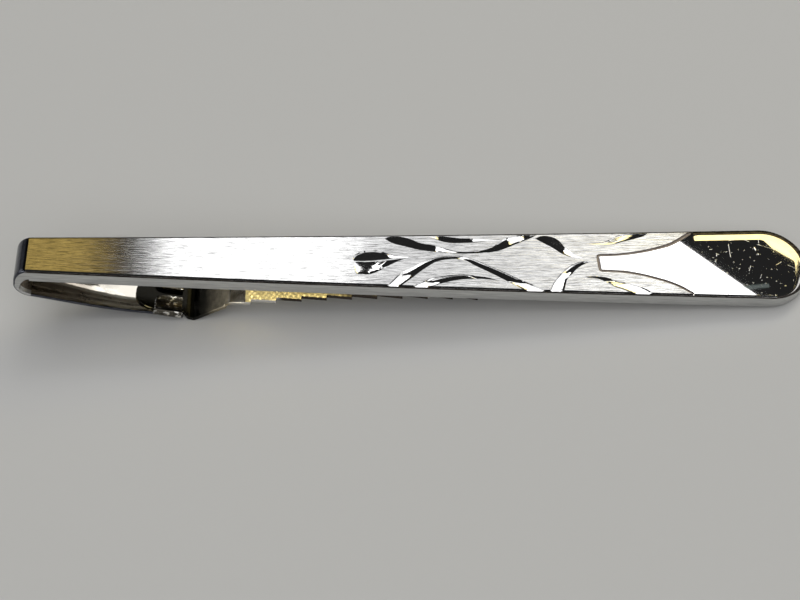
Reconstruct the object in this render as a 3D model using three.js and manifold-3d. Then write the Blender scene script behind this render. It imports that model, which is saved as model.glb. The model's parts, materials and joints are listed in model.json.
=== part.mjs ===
// A slide-on tie clip: a tapered sheet-metal bar whose fold end turns back under
// itself as a spring leg, and a toothed tongue that the leg's two ears hold.
//
// Sections are drawn with the bar level: X runs from the crease at the fold to
// the round tip, Y across, Z up, and Z = 0 is the top of the bar at both ends.
// The finished clip is then tipped until it lies on its tongue and its tip.
// Millimetres, +Z up, origin under the middle of the clip, on the surface it lies on.

import * as THREE from 'three';
import Module from 'manifold-3d';
import { mergeVertices } from 'three/addons/utils/BufferGeometryUtils.js';

// ---------------------------------------------------------------- the bar
const BAR_LENGTH = 60;        // crease to tip
const FOLD_WIDTH = 3.2;       // width of the bar at the crease
const TIP_WIDTH = 6.5;        // width where the round tip begins
const TAPER_FULLNESS = 0.28;  // how far the sides stand out from straight lines
const BAR_DEPTH = 1.3;        // height of the turned-down sides
const BAR_SHEET = 0.4;        // thickness of the bar's metal
const BAR_SAG = 0.26;         // the middle lies this much lower than the ends

// --------------------------------------------------------------- the fold
// The outside of the fold is part of an ellipse that is taller above than below.
const FOLD_CENTRE_X = 0.25;
const FOLD_CENTRE_Z = -1.85;
const FOLD_REACH = 1.37;      // half-axis along X
const FOLD_RISE = 1.88;       // half-axis upward
const FOLD_DROP = 1.53;       // half-axis downward
const CREASE_ANGLE = Math.PI / 2 - Math.asin(FOLD_CENTRE_X / FOLD_REACH);
const SIDES_END_ANGLE = -THREE.MathUtils.degToRad(25);  // the sides run out here
const SPLIT_GAP = 0.06;       // between the bar's half of the fold and the leg's
const FOLD_LAP = 0.3;         // the fold's strips start this far inside the bar

// ---------------------------------------------------------------- the leg
const LEG_SHEET = 0.28;
const LEG_SLOPE = 0.2545;     // fall per millimetre of X
const LEG_END_X = 11.25;
const LEG_SECTIONS_X = [4, 8, LEG_END_X];
const EAR_START_X = 8.95;
const EAR_END_X = 11.1;
const EAR_INNER_Y = 0.37;     // the ears' edges leave a slot of twice this
const EAR_CORNER = 0.7;       // how far the edge's front corner is rounded off
const EAR_BULGE = 0.26;       // how far an ear stands out beside the leg
const EAR_INSET = 0.13;       // its bend begins and ends this far inside the leg's edge
const EAR_LAP = 0.3;          // and its strip starts this far inside the leg

// ------------------------------------------------------------- the tongue
const TONGUE_SHEET = 0.33;
const TONGUE_CLEARANCE = 0.06;
const ROOT_RADIUS = 1.4;      // the round root, and half the width between the ears
const ROOT_CENTRE_X = 9.0;
const SHOULDER_X = 11.3;      // the tongue widens just past the ears
const SHOULDER_END_X = 11.65;
const SHOULDER_HALF = 1.8;
const HUMP = [12.15, -6.25];  // lowest point of the tongue's underside
const BLADE = [               // underside of the blade, from the ramp to its end
  [15.2, -4.06],
  [16.7, -3.71],
  [20.7, -3.02],
  [24.6, -2.5],
  [28.4, -2.15],
  [31.4, -2.02],
  [35, -1.98],
];
const BLADE_CURVE = new THREE.CatmullRomCurve3(
  BLADE.map(([x, z]) => new THREE.Vector3(x, 0, z)), false, 'centripetal');
const BLADE_MARGIN = 0.15;    // tooth points stop this far inside the bar's side
const TOOTH_START_X = 14.8;
const TOOTH_PITCH = 1.93;
const TOOTH_DEPTH = 0.28;
const TOOTH_COUNT = 10;
const TOOTH_FLANK = 0.05;     // length of the steep side of a tooth

// -------------------------------------------------------------- fineness
const BAR_STEPS = 12;
const TIP_STEPS = 12;
const FOLD_STEPS = 7;         // in each half of the fold
const SIDE_STEPS = 5;         // in the leg's short sides
const EAR_BEND_STEPS = 6;
const EAR_ROOF_STEPS = 4;
const ROOT_TURNS = [0.02, 0.15, 0.35, 0.6, 1];  // shares of a quarter turn
const WELD = 1e-4;            // corners nearer than this are one corner
const HAIR = 1e-6;            // keeps the foot of a tooth on the tooth's own side
const CUTTER_EXTRA = 1;       // a cutter runs past the metal by this much

// ---------------------------------------------------------------- metals
const BAR_METAL = { color: 0xcfd1d2, roughness: 0.34 };
const LEG_METAL = { color: 0xb9b6ae, roughness: 0.16 };
const TONGUE_METAL = { color: 0xb8ab86, roughness: 0.3 };

const wasm = await Module();
wasm.setup();

// ------------------------------------------------------- small solid tools

// Joins sections of equally many corners into one closed solid.
// Corners run counter-clockwise as seen looking back from the last section.
function loft(sections) {
  const corners = sections[0].length;
  const points = sections.flat();
  const index = [];
  for (let s = 0; s < sections.length - 1; s += 1) {
    for (let c = 0; c < corners; c += 1) {
      const a = s * corners + c;
      const b = s * corners + (c + 1) % corners;
      index.push(a, b, b + corners, a, b + corners, a + corners);
    }
  }
  const last = (sections.length - 1) * corners;
  for (let c = 1; c < corners - 1; c += 1) {
    index.push(0, c + 1, c);
    index.push(last, last + c, last + c + 1);
  }
  const geometry = new THREE.BufferGeometry().setFromPoints(points);
  geometry.setIndex(index);
  return geometry;
}

// One four-cornered section of a strip: from a point on its low face, up along
// the strip's normal by the thickness, and across from yLow to yHigh.
function stripSection(station, yLow, yHigh) {
  const { x, z, nx, nz, thickness } = station;
  const highX = x + nx * thickness;
  const highZ = z + nz * thickness;
  return [
    new THREE.Vector3(x, yLow, z),
    new THREE.Vector3(x, yHigh, z),
    new THREE.Vector3(highX, yHigh, highZ),
    new THREE.Vector3(highX, yLow, highZ),
  ];
}

function toManifold(geometry) {
  const merged = mergeVertices(geometry, WELD);
  const vertProperties = new Float32Array(merged.attributes.position.array);
  const triVerts = new Uint32Array(merged.index.array);
  return new wasm.Manifold(new wasm.Mesh({ numProp: 3, vertProperties, triVerts }));
}

function toGeometry(manifold) {
  const mesh = manifold.getMesh();
  const geometry = new THREE.BufferGeometry();
  geometry.setAttribute('position', new THREE.BufferAttribute(mesh.vertProperties, 3));
  geometry.setIndex(new THREE.BufferAttribute(mesh.triVerts, 1));
  return geometry;
}

function joined(geometries) {
  const solids = geometries.map(toManifold);
  return solids.reduce((sum, solid) => sum.add(solid));
}

// ------------------------------------------------------ outline of the bar

const TIP_RADIUS = TIP_WIDTH / 2;
const TAPER_LENGTH = BAR_LENGTH - TIP_RADIUS;

function taperHalfWidth(x) {
  const u = x / TAPER_LENGTH;
  const width = FOLD_WIDTH + (TIP_WIDTH - FOLD_WIDTH) * u + TAPER_FULLNESS * u * (1 - u);
  return width / 2;
}

// The top's height: a shallow parabola, and level round the tip.
function sag(x) {
  const u = THREE.MathUtils.clamp(x / TAPER_LENGTH, 0, 1);
  return -BAR_SAG * 4 * u * (1 - u);
}

// Stations along the bar for an outline set in by `inset` from the true one.
function barStations(inset) {
  const stations = [];
  for (let i = 0; i < BAR_STEPS; i += 1) {
    const x = TAPER_LENGTH * i / BAR_STEPS;
    stations.push({ x, half: taperHalfWidth(x) - inset });
  }
  // The last section stops half a step before the very tip, so it keeps some width.
  const radius = TIP_RADIUS - inset;
  for (let i = 0; i < TIP_STEPS; i += 1) {
    const angle = (Math.PI / 2) * i / (TIP_STEPS - 0.5);
    stations.push({ x: TAPER_LENGTH + radius * Math.sin(angle), half: radius * Math.cos(angle) });
  }
  return stations;
}

// A plank that fills the outline between two heights and follows the sag.
function plank(stations, low, high) {
  const sections = stations.map(({ x, half }) => {
    const station = { x, z: sag(x) + low, nx: 0, nz: 1, thickness: high - low };
    return stripSection(station, -half, half);
  });
  return loft(sections);
}

// -------------------------------------------------------------- the fold

// Point on the outside of the fold, with the normal that points into it.
function foldPoint(angle) {
  const height = angle > 0 ? FOLD_RISE : FOLD_DROP;
  const tangentX = -FOLD_REACH * Math.sin(angle);
  const tangentZ = -height * Math.cos(angle);
  const length = Math.hypot(tangentX, tangentZ);
  return {
    x: FOLD_CENTRE_X - FOLD_REACH * Math.cos(angle),
    z: FOLD_CENTRE_Z + height * Math.sin(angle),
    nx: -tangentZ / length,
    nz: tangentX / length,
  };
}

// The sides grow shallower round the fold until only the sheet is left.
function sideDepth(angle) {
  const share = (CREASE_ANGLE - angle) / (CREASE_ANGLE - SIDES_END_ANGLE);
  return THREE.MathUtils.lerp(BAR_DEPTH, LEG_SHEET, share);
}

function foldArc(from, to, steps, thicknessAt) {
  const stations = [];
  for (let i = 0; i <= steps; i += 1) {
    const angle = THREE.MathUtils.lerp(from, to, i / steps);
    stations.push({ ...foldPoint(angle), thickness: thicknessAt(angle) });
  }
  return stations;
}

function skinDepth(angle) {
  const share = (CREASE_ANGLE - angle) / (CREASE_ANGLE - SIDES_END_ANGLE);
  return THREE.MathUtils.lerp(BAR_SHEET, LEG_SHEET, THREE.MathUtils.clamp(share, 0, 1));
}

// The skin of a stretch of the fold and its two sides, as overlapping strips.
function foldStrips(skin, sides) {
  const half = FOLD_WIDTH / 2;
  const inner = half - BAR_SHEET;
  return [
    loft(skin.map((station) => stripSection(station, -half, half))),
    loft(sides.map((station) => stripSection(station, -half, -inner))),
    loft(sides.map((station) => stripSection(station, inner, half))),
  ];
}

// ------------------------------------------------------------ the pieces

function frontBarGeometry() {
  const outer = toManifold(plank(barStations(0), -BAR_DEPTH, 0));
  const cavityStations = barStations(BAR_SHEET);
  cavityStations.unshift({ x: -CUTTER_EXTRA, half: FOLD_WIDTH / 2 - BAR_SHEET });
  const cavity = toManifold(plank(cavityStations, -BAR_DEPTH - CUTTER_EXTRA, -BAR_SHEET));
  const channel = outer.subtract(cavity);

  const splitAngle = SPLIT_GAP / 2 / FOLD_RISE;
  const lead = { x: FOLD_LAP, z: sag(FOLD_LAP), nx: 0, nz: -1 };
  const skin = foldArc(CREASE_ANGLE, splitAngle, FOLD_STEPS, skinDepth);
  const sides = foldArc(CREASE_ANGLE, splitAngle, FOLD_STEPS, sideDepth);
  skin.unshift({ ...lead, thickness: BAR_SHEET });
  sides.unshift({ ...lead, thickness: BAR_DEPTH });
  return toGeometry(channel.add(joined(foldStrips(skin, sides))));
}

// Angle at which the fold has come round to the slope of the leg.
const LEG_ANGLE = -Math.atan(FOLD_DROP / (FOLD_REACH * LEG_SLOPE));
const LEG_START = foldPoint(LEG_ANGLE);
const LEG_TILT = Math.atan(LEG_SLOPE);

function legPoint(x) {
  return { x, z: LEG_START.z - LEG_SLOPE * (x - LEG_START.x) };
}

// An ear grows from the leg's edge and is folded up and over the tongue's root.
// Its outside is listed as [Y, height above the leg's underside, start along the leg].
function earOutside() {
  const edge = FOLD_WIDTH / 2;
  const top = 2 * LEG_SHEET + TONGUE_SHEET + 2 * TONGUE_CLEARANCE;
  const outside = [[edge - EAR_LAP, 0, EAR_START_X]];
  for (let i = 0; i <= EAR_BEND_STEPS; i += 1) {
    const turn = Math.PI * (i / EAR_BEND_STEPS - 0.5);
    const y = edge - EAR_INSET + (EAR_INSET + EAR_BULGE) * Math.cos(turn);
    outside.push([y, (top / 2) * (1 + Math.sin(turn)), EAR_START_X]);
  }
  for (let i = 1; i <= EAR_ROOF_STEPS; i += 1) {
    const share = i / EAR_ROOF_STEPS;
    const y = THREE.MathUtils.lerp(edge - EAR_INSET, EAR_INNER_Y, share);
    const corner = EAR_CORNER * (1 - Math.sqrt(1 - share ** 4));
    outside.push([y, top, EAR_START_X + corner]);
  }
  return outside;
}

function earGeometry(side) {
  const outside = earOutside();
  const sections = outside.map(([y, height, startX], i) => {
    const before = outside[Math.max(i - 1, 0)];
    const after = outside[Math.min(i + 1, outside.length - 1)];
    const length = Math.hypot(after[0] - before[0], after[1] - before[1]);
    const inY = y - LEG_SHEET * (after[1] - before[1]) / length;
    const inHeight = height + LEG_SHEET * (after[0] - before[0]) / length;
    const corners = [
      new THREE.Vector3(EAR_END_X, side * y, height),
      new THREE.Vector3(startX, side * y, height),
      new THREE.Vector3(startX, side * inY, inHeight),
      new THREE.Vector3(EAR_END_X, side * inY, inHeight),
    ];
    return side > 0 ? corners : corners.reverse();
  });
  const ear = loft(sections);
  const start = legPoint(EAR_START_X);
  ear.translate(-EAR_START_X, 0, 0);
  ear.rotateY(LEG_TILT);
  ear.translate(start.x, 0, start.z);
  return ear;
}

function springLegGeometry() {
  const splitAngle = -SPLIT_GAP / 2 / FOLD_DROP;
  const skin = foldArc(splitAngle, LEG_ANGLE, FOLD_STEPS, skinDepth);
  const sides = foldArc(splitAngle, SIDES_END_ANGLE, SIDE_STEPS, sideDepth);
  const legNormal = { nx: Math.sin(LEG_TILT), nz: Math.cos(LEG_TILT) };
  for (const x of LEG_SECTIONS_X) {
    skin.push({ ...legPoint(x), ...legNormal, thickness: LEG_SHEET });
  }
  const pieces = [...foldStrips(skin, sides), earGeometry(1), earGeometry(-1)];
  return toGeometry(joined(pieces));
}

// Half-width of the tongue: a round root, a neck between the ears, a shoulder,
// and then teeth that widen toward the tip and step back in.
function tongueHalfWidth(x) {
  if (x < ROOT_CENTRE_X) {
    const reach = ROOT_CENTRE_X - x;
    return Math.sqrt(Math.max(ROOT_RADIUS ** 2 - reach ** 2, 0));
  }
  if (x < SHOULDER_X) return ROOT_RADIUS;
  if (x < TOOTH_START_X) {
    const share = THREE.MathUtils.clamp((x - SHOULDER_X) / (SHOULDER_END_X - SHOULDER_X), 0, 1);
    return THREE.MathUtils.lerp(ROOT_RADIUS, SHOULDER_HALF, share);
  }
  const along = (x - TOOTH_START_X + HAIR) % TOOTH_PITCH;
  const valley = taperHalfWidth(x) - BLADE_MARGIN - TOOTH_DEPTH;
  return valley + TOOTH_DEPTH * Math.min(along / (TOOTH_PITCH - TOOTH_FLANK), 1);
}

// Height of the tongue's underside: along the leg, down to the hump, straight up
// the ramp, and then along the blade's curve.
function tongueHeight(x) {
  const lift = (LEG_SHEET + TONGUE_CLEARANCE) / Math.cos(LEG_TILT);
  const [humpX, humpZ] = HUMP;
  const [rampX, rampZ] = BLADE[0];
  const along = (from, to) => (x - from) / (to - from);
  if (x <= SHOULDER_END_X) return legPoint(x).z + lift;
  if (x <= humpX) {
    const start = legPoint(SHOULDER_END_X).z + lift;
    return THREE.MathUtils.lerp(start, humpZ, along(SHOULDER_END_X, humpX));
  }
  if (x <= rampX) return THREE.MathUtils.lerp(humpZ, rampZ, along(humpX, rampX));
  return heightOnCurve(BLADE_CURVE, x);
}

// Places along X where the tongue's outline or its height turns.
function tongueStations() {
  const stations = [];
  for (const turn of ROOT_TURNS) {
    stations.push(ROOT_CENTRE_X - ROOT_RADIUS * Math.cos(turn * Math.PI / 2));
  }
  stations.push(SHOULDER_X, SHOULDER_END_X, HUMP[0], TOOTH_START_X - TOOTH_FLANK);
  for (let tooth = 0; tooth < TOOTH_COUNT; tooth += 1) {
    const valley = TOOTH_START_X + tooth * TOOTH_PITCH;
    stations.push(valley, valley + TOOTH_PITCH / 2, valley + TOOTH_PITCH - TOOTH_FLANK);
  }
  return stations;
}

// Height of a curve that runs steadily along X, found by halving.
function heightOnCurve(curve, x) {
  let low = 0;
  let high = 1;
  while (high - low > HAIR) {
    const middle = (low + high) / 2;
    if (curve.getPoint(middle).x < x) low = middle;
    else high = middle;
  }
  return curve.getPoint(low).z;
}

function toothedTongueGeometry() {
  const points = tongueStations().map((x) => ({ x, z: tongueHeight(x) }));
  const sections = points.map((point, i) => {
    const before = points[Math.max(i - 1, 0)];
    const after = points[Math.min(i + 1, points.length - 1)];
    const tilt = Math.atan2(after.z - before.z, after.x - before.x);
    const half = tongueHalfWidth(point.x);
    const station = { ...point, nx: -Math.sin(tilt), nz: Math.cos(tilt), thickness: TONGUE_SHEET };
    return stripSection(station, -half, half);
  });
  return loft(sections);
}

// -------------------------------------------------------------- assembly

function piece(name, geometry, metal) {
  const material = new THREE.MeshStandardMaterial({ ...metal, metalness: 1 });
  const flat = geometry.toNonIndexed();
  flat.computeVertexNormals();
  const mesh = new THREE.Mesh(flat, material);
  mesh.name = name;
  return mesh;
}

const clip = new THREE.Group();
clip.add(piece('front_bar', frontBarGeometry(), BAR_METAL));
clip.add(piece('spring_leg', springLegGeometry(), LEG_METAL));
clip.add(piece('toothed_tongue', toothedTongueGeometry(), TONGUE_METAL));

// The clip lies on the hump of its tongue and on the end of its tip.
const restTilt = Math.atan2(-BAR_DEPTH - HUMP[1], BAR_LENGTH - HUMP[0]);
clip.rotation.y = restTilt;

const tieClip = new THREE.Group();
tieClip.add(clip);
tieClip.updateMatrixWorld(true);
const box = new THREE.Box3().setFromObject(tieClip, true);
clip.position.set(-(box.min.x + box.max.x) / 2, -(box.min.y + box.max.y) / 2, -box.min.z);

export default tieClip;
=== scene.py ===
"""Looks of the slide-on tie clip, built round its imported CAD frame.

Shapes are worked out in the bar's own frame, in millimetres: X runs from the
crease at the fold to the round tip, Y across with the far side positive, Z up,
and Z = 0 is the top of the bar at both ends. placed() carries a point from
there to the row frame, in metres.
"""

import json
import math

import bmesh
import bpy
import numpy as np
from mathutils import Matrix, Vector, geometry, noise


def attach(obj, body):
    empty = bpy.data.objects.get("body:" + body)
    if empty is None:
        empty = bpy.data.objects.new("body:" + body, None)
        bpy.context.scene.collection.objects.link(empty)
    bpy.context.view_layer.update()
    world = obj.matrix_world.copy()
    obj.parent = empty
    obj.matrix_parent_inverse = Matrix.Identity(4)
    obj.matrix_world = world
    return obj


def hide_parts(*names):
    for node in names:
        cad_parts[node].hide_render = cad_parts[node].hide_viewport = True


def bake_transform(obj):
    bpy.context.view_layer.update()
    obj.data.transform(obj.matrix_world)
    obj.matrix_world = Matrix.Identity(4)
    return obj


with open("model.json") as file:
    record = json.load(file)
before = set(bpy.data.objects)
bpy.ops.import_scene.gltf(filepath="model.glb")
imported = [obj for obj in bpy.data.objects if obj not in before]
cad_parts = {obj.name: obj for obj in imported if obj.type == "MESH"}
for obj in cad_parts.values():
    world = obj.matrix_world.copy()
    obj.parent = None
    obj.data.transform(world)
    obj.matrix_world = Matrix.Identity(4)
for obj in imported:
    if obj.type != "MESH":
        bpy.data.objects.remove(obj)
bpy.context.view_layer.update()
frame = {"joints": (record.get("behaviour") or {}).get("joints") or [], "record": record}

# ---- dimensions shared with the CAD
BAR_LENGTH = 60.0
FOLD_WIDTH = 3.2
TIP_WIDTH = 6.5
TAPER_FULLNESS = 0.28
BAR_DEPTH = 1.3
BAR_SHEET = 0.4
BAR_SAG = 0.26
TIP_RADIUS = TIP_WIDTH / 2
TAPER_LENGTH = BAR_LENGTH - TIP_RADIUS

FOLD_CENTRE = (0.25, -1.85)
FOLD_REACH = 1.37
FOLD_RISE = 1.88
FOLD_DROP = 1.53
CREASE_ANGLE = math.pi / 2 - math.asin(FOLD_CENTRE[0] / FOLD_REACH)
SIDES_END_ANGLE = -math.radians(25)

LEG_SHEET = 0.28
LEG_SLOPE = 0.2545
LEG_END_X = 11.25
LEG_TILT = math.atan(LEG_SLOPE)
LEG_ANGLE = -math.atan(FOLD_DROP / (FOLD_REACH * LEG_SLOPE))
EAR_START_X = 8.95
EAR_END_X = 11.1
EAR_INNER_Y = 0.37
EAR_CORNER = 0.7
EAR_BULGE = 0.26

TONGUE_SHEET = 0.33
TONGUE_CLEARANCE = 0.06
ROOT_RADIUS = 1.4
ROOT_CENTRE_X = 9.0
SHOULDER_X = 11.3
SHOULDER_END_X = 11.65
SHOULDER_HALF = 1.8
HUMP = (12.15, -6.25)
BLADE = ((15.2, -4.06), (16.7, -3.71), (20.7, -3.02), (24.6, -2.5), (28.4, -2.15), (31.4, -2.02),
         (35, -1.98))
BLADE_MARGIN = 0.15
TOOTH_START_X = 14.8
TOOTH_PITCH = 1.93
TOOTH_DEPTH = 0.28
TOOTH_COUNT = 10
TOOTH_FLANK = 0.05

# ---- finish of the edges
EDGE = 0.19  # rounding along the top edges
TIP_EDGE = 1.0  # the polished tip's far side has a wide slope inside its rounding
TIP_SLOPE = (math.tan(math.radians(3.6)), math.tan(math.radians(8.5)))  # where it starts and ends
TIP_SLOPE_END = 0.44  # how far from the outline that slope turns into a dull rounding
TIP_DROP = 0.14  # depth of the slope and its rounding
TIP_EDGE_X = (51.27, 51.36)  # between these the plain edge widens into the tip's
LEG_EDGE = LEG_SHEET / 2.5  # rounding of the leg's edges
RIM = 0.06  # rounding of the sides' lower rims
FILLET = 0.15  # inside the channel, where wall and roof meet
LEG_CROWN = 0.07  # the leg is a little higher along its middle,
CROWN_RUN = 3.0  # which grows over this length,
LEG_BOW = (0.1, 0.16)  # and it hangs between the fold and the ears, evenly and more at the end
EAR_LAP = 0.3  # how far an ear starts inside the leg's edge
EAR_SOFT = 0.07  # rounding of an ear's rims
TONGUE_SOFT = 0.035  # and of the tongue's
BEND_RADIUS = 0.16  # rounding of the tongue's bends, which fades out along the ramp
BEND_FADE_X = (14.2, 16.2)

# ---- steps
ARC_STEPS = 8  # rows down an edge,
SLOPE_STEPS = 3  # of which these are the tip's slope
QUARTER = [math.pi / 2 * k / 3 for k in range(4)]  # angles of the rows of a small rounding
SIDE_ROWS = 8  # rows from an edge to the inside of the bar's rim
LEG_ROWS = 5  # and on the leg
SKIN_SHARES = np.linspace(-0.8, 0.8, 9)  # places across the roof and the skin, between the edges
BAR_STEP = 1.0
TIP_STEPS = 20
FOLD_STEPS = 30
LEG_START_X = 0.5
LEG_STEP = 0.75
EAR_BEND_STEPS = 14
EAR_ROOF_STEPS = 8
TONGUE_STEP = 0.1
BEND_STEP = 0.02
TONGUE_TOP_COLUMNS = 41
TONGUE_UNDER_COLUMNS = 7
SHARP_OVER = math.radians(32)  # edges that turn more than this aren't shaded smooth

MM = 0.001
joint = frame["joints"][0]
face_axis = frame["record"]["mounts"][0]["axis"]
HINGE = Vector((FOLD_CENTRE[0] - FOLD_REACH, 0, FOLD_CENTRE[1]))
TILT = Matrix.Rotation(math.atan2(face_axis[0], face_axis[2]), 4, "Y")
TO_ROW = Matrix.Translation(joint["pos_m"]) @ TILT @ Matrix.Scale(MM, 4) @ Matrix.Translation(-HINGE)


def placed(point):
    return TO_ROW @ Vector(point)


def turned(direction):
    return TILT.to_3x3() @ Vector(direction)


def lerp(a, b, share):
    return a + (b - a) * share


def smooth(share):
    """0 to 1 with soft ends."""
    share = np.clip(share, 0.0, 1.0)
    return share * share * (3 - 2 * share)


def shown(name, data):
    """A new object in the scene."""
    found = bpy.data.objects.new(name, data)
    bpy.context.scene.collection.objects.link(found)
    return found


# ---- a welded shell
class Shell:
    """Faces given by their corners in the bar's frame. Equal corners are welded."""

    def __init__(self):
        self.points = []
        self.index = {}
        self.faces = []
        self.slots = []
        self.creases = set()

    def corner(self, p):
        key = tuple(int(round(c * 1e5)) for c in p)
        if key not in self.index:
            self.index[key] = len(self.points)
            self.points.append(tuple(p))
        return self.index[key]

    def face(self, corners, slot):
        ids = []
        for p in corners:
            i = self.corner(p)
            if i not in ids:
                ids.append(i)
        if len(ids) > 2:
            self.faces.append(ids)
            self.slots.append(slot)

    def strip(self, a, b, slot, closed=False):
        """Quads between two rows of equally many corners. slot may be a function of the column."""
        count = len(a) if closed else len(a) - 1
        for i in range(count):
            j = (i + 1) % len(a)
            self.face((a[i], a[j], b[j], b[i]), slot(i) if callable(slot) else slot)

    def crease(self, row):
        for p, q in zip(row, row[1:]):
            i, j = self.corner(p), self.corner(q)
            if i != j:
                self.creases.add(frozenset((i, j)))

    def build(self, name, materials, flat=()):
        """The finished piece. Faces of the flat slots get the exact normals of the top."""
        mesh = bpy.data.meshes.new(name)
        mesh.from_pydata([placed(p) for p in self.points], [], self.faces)
        for material in materials:
            mesh.materials.append(material)
        mesh.polygons.foreach_set("material_index", self.slots)
        spot = mesh.attributes.new("bar_mm", "FLOAT_VECTOR", "POINT")
        spot.data.foreach_set("vector", np.array(self.points, np.float32).ravel())
        bm = bmesh.new()
        bm.from_mesh(mesh)
        bmesh.ops.dissolve_degenerate(bm, dist=1e-9, edges=bm.edges)
        bmesh.ops.recalc_face_normals(bm, faces=bm.faces)
        layer = bm.loops.layers.uv.new("along")
        spots = bm.verts.layers.float_vector["bar_mm"]
        for f in bm.faces:
            f.smooth = True
            for loop in f.loops:
                x, y, z = loop.vert[spots]
                loop[layer].uv = (x / BAR_LENGTH, (y - z) / BAR_LENGTH)
        bm.verts.index_update()
        marked = {frozenset(tuple(np.round(self.points[i], 4)) for i in pair) for pair in self.creases}
        for e in bm.edges:
            pair = frozenset(tuple(np.round(tuple(v[spots]), 4)) for v in e.verts)
            e.smooth = not (pair in marked or (e.is_manifold and e.calc_face_angle(0) > SHARP_OVER))
        bm.to_mesh(mesh)
        bm.free()
        normals = [(0, 0, 0)] * len(mesh.loops)
        spots = mesh.attributes["bar_mm"].data
        for f in mesh.polygons:
            if f.material_index in flat:
                for i in f.loop_indices:
                    normals[i] = turned(top_normal(spots[mesh.loops[i].vertex_index].vector.x))
        if flat:
            mesh.normals_split_custom_set(normals)
        return shown(name, mesh)


# ---- plane curves
def curve(points, count):
    """A smooth line through the points, as so many corners an even distance apart."""
    p = np.array(points, float)
    p = np.vstack((2 * p[0] - p[1], p, 2 * p[-1] - p[-2]))
    dense = []
    for a, b, c, d in zip(p, p[1:], p[2:], p[3:]):
        t1 = np.linalg.norm(b - a) ** 0.5
        t2 = t1 + np.linalg.norm(c - b) ** 0.5
        t3 = t2 + np.linalg.norm(d - c) ** 0.5
        for t in np.linspace(t1, t2, 24, endpoint=False):
            ab = lerp(a, b, t / t1)
            bc = lerp(b, c, (t - t1) / (t2 - t1))
            cd = lerp(c, d, (t - t2) / (t3 - t2))
            low = lerp(ab, bc, t / t2)
            high = lerp(bc, cd, (t - t1) / (t3 - t1))
            dense.append(lerp(low, high, (t - t1) / (t2 - t1)))
    dense.append(p[-2])
    dense = np.array(dense)
    run = np.concatenate(([0], np.cumsum(np.linalg.norm(np.diff(dense, axis=0), axis=1))))
    at = np.linspace(0, run[-1], count)
    return np.stack([np.interp(at, run, dense[:, k]) for k in range(2)], 1)


def inside(points, polygon):
    """Which of the points lie inside the polygon."""
    x, y = np.asarray(points, float).T
    held = np.zeros(len(x), bool)
    for (x1, y1), (x2, y2) in zip(polygon, np.roll(polygon, -1, 0)):
        if y1 != y2:
            held ^= ((y1 > y) != (y2 > y)) & (x < (x2 - x1) * (y - y1) / (y2 - y1) + x1)
    return held


# ---- the outline
def half_width(x):
    u = x / TAPER_LENGTH
    return (FOLD_WIDTH + (TIP_WIDTH - FOLD_WIDTH) * u + TAPER_FULLNESS * u * (1 - u)) / 2


def sag(x):
    u = min(max(x / TAPER_LENGTH, 0), 1)
    return -BAR_SAG * 4 * u * (1 - u)


def top_normal(x):
    """Normal of the top, which sags a little along its length."""
    u = x / TAPER_LENGTH
    slope = -BAR_SAG * 4 * (1 - 2 * u) / TAPER_LENGTH if 0 <= u < 1 else 0.0
    return Vector((-slope, 0, 1)).normalized()


def edge_width(side, x, angle=0.0):
    """How far the rounding of the top edge reaches in. side is -1 near, +1 far."""
    if side < 0:
        return lerp(EDGE, TIP_EDGE, smooth(angle / (math.pi / 2)) ** 2)
    return lerp(EDGE, TIP_EDGE, smooth((x - TIP_EDGE_X[0]) / (TIP_EDGE_X[1] - TIP_EDGE_X[0])))


def tip_slope_drop(run):
    """Depth of the tip's slope, which steepens evenly, at a distance from where it starts."""
    return run * (TIP_SLOPE[0] + (TIP_SLOPE[1] - TIP_SLOPE[0]) / 2 * run / (TIP_EDGE - TIP_SLOPE_END))


def edge_profile(width):
    """(inset, drop) down a rounded edge. Wide ones start as a long slope."""
    share = (width - EDGE) / (TIP_EDGE - EDGE)
    found = []
    for k in range(ARC_STEPS + 1):
        a = math.pi / 2 * k / ARC_STEPS
        plain = (width * (1 - math.sin(a)), width * (1 - math.cos(a)))
        if k < SLOPE_STEPS:
            inset = lerp(TIP_EDGE, TIP_SLOPE_END, k / SLOPE_STEPS)
            drop = tip_slope_drop(TIP_EDGE - inset)
        else:
            turn = (k - SLOPE_STEPS) / (ARC_STEPS - SLOPE_STEPS)
            inset = TIP_SLOPE_END * (1 - turn ** 0.8)
            drop = lerp(tip_slope_drop(TIP_EDGE - TIP_SLOPE_END), TIP_DROP, turn ** 2)
        found.append((lerp(plain[0], inset, share), lerp(plain[1], drop, share)))
    return found


def rows(depth, sheet, width):
    """(inset from the outline, depth under the top) down a side, round its rim and up to the roof."""
    wall = BAR_SHEET
    lip = min(RIM, (depth - sheet) / 2)
    fillet = min(FILLET, (depth - sheet) / 2)
    found = edge_profile(width)
    found.append((0, lerp(found[-1][1], depth - RIM, 0.5)))
    found += [(RIM * (1 - math.cos(a)), depth - RIM * (1 - math.sin(a))) for a in QUARTER]
    found += [(wall - lip * (1 - math.sin(a)), depth - lip * (1 - math.cos(a))) for a in QUARTER]
    found += [(wall + fillet * (1 - math.cos(a)), sheet + fillet * (1 - math.sin(a))) for a in QUARTER]
    return found


ROW_COUNT = len(rows(BAR_DEPTH, BAR_SHEET, EDGE))


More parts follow.
